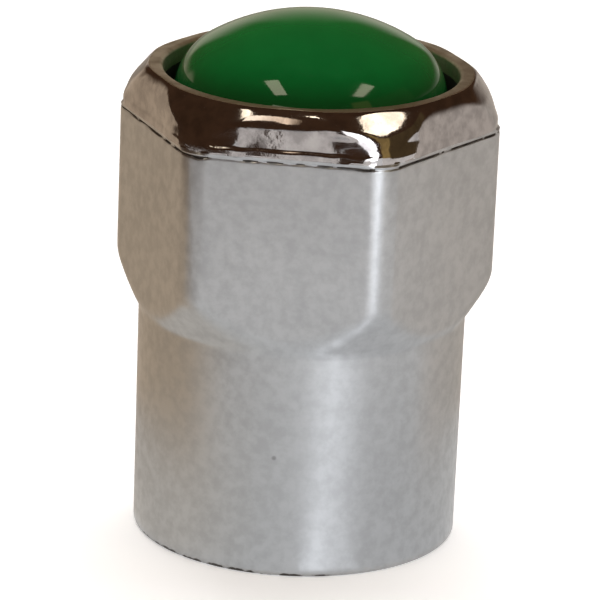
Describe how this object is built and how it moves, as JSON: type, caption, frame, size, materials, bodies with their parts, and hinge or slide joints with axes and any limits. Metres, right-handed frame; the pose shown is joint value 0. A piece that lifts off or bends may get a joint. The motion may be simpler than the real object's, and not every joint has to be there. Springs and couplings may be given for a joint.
{
  "type": "tyre valve cap",
  "caption": "Chrome-plated hexagon cap for a tyre valve, with a round skirt, a polished rolled crown, a green domed insert, a threaded bore and a rubber seal.",
  "frame": {"origin": "centre of the mouth rim, on the cap's axis, in the plane that the cap stands on", "axes": "+Z along the axis from the mouth to the dome; -Y square to one flat of the hexagon; +X towards a corner"},
  "size_m": [0.0122, 0.0108, 0.0171],
  "materials": {
    "chrome_shell": "chrome plating on moulded plastic, satin on the sides and polished on the crown",
    "green_dome": "deep green glossy plastic",
    "seal_rubber": "matt black rubber"
  },
  "bodies": {
    "root": {"cap_shell": "chrome_shell", "dome_insert": "green_dome", "seal_washer": "seal_rubber"}
  },
  "joints": []
}
